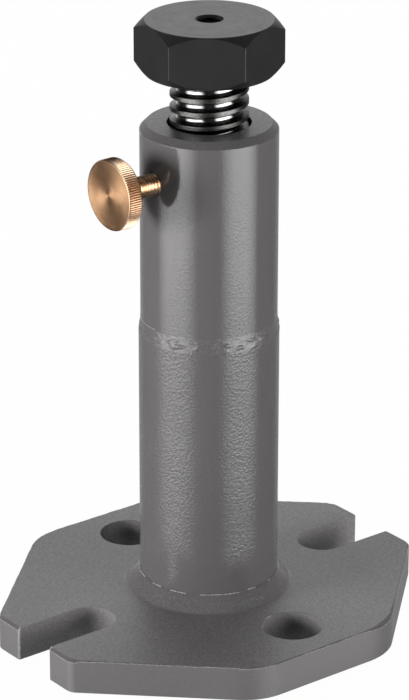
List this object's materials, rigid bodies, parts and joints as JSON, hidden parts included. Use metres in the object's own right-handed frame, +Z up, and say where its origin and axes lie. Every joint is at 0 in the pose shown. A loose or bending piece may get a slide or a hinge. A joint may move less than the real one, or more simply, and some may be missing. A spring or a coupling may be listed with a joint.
{
  "type": "machinist jack",
  "caption": "Screw jack with a slotted flange base, a tube column, a trapezoidal spindle with a hexagon head, and a knurled thumb screw that clamps it.",
  "frame": {"origin": "centre of the base plate's underside, on the spindle's axis", "axes": "+Z up along the spindle, X through the two open slots with the thumb screw towards -X, Y through the two round holes"},
  "size_m": [0.159, 0.138, 0.2291],
  "materials": {
    "body_paint": "semi-gloss dark grey paint",
    "bright_steel": "bright turned",
    "black_oxide_steel": "black oxide, satin",
    "brass": "turned, bare",
    "pad_brass": "bare",
    "plain_steel": "zinc plated"
  },
  "bodies": {
    "column": {"base_plate": "body_paint", "column_tube": "body_paint", "base_weld": "body_paint", "threaded_sleeve": "body_paint", "seam_weld": "body_paint"},
    "stop_ring": {"stop_washer": "plain_steel"},
    "screw": {"spindle": "bright_steel", "hex_head": "black_oxide_steel", "stop_screw": "plain_steel"},
    "pad": {"pressure_pad": "pad_brass"},
    "clamp": {"thumb_screw": "brass"}
  },
  "joints": [
    {"name": "spindle_lift", "type": "slide", "parent": "column", "child": "stop_ring", "axis": [0, 0, 1], "range_m": [-0.018, 0.038]},
    {"name": "spindle_turn", "type": "hinge", "parent": "stop_ring", "child": "screw", "pos_m": [0, 0, 0.1], "axis": [0, 0, 1], "range_deg": [-1296, 2736]},
    {"name": "pad_slide", "type": "slide", "parent": "column", "child": "pad", "axis": [1, 0, 0], "range_m": [-0.004, 0]},
    {"name": "clamp_turn", "type": "hinge", "parent": "pad", "child": "clamp", "pos_m": [-0.03, 0, 0.1734], "axis": [1, 0, 0], "range_deg": [-1152, 0]}
  ],
  "couplings": [
    {"joint": "spindle_turn", "follows": "spindle_lift", "rad_per_m": 1256.6},
    {"joint": "clamp_turn", "follows": "pad_slide", "rad_per_m": 5026.5}
  ]
}
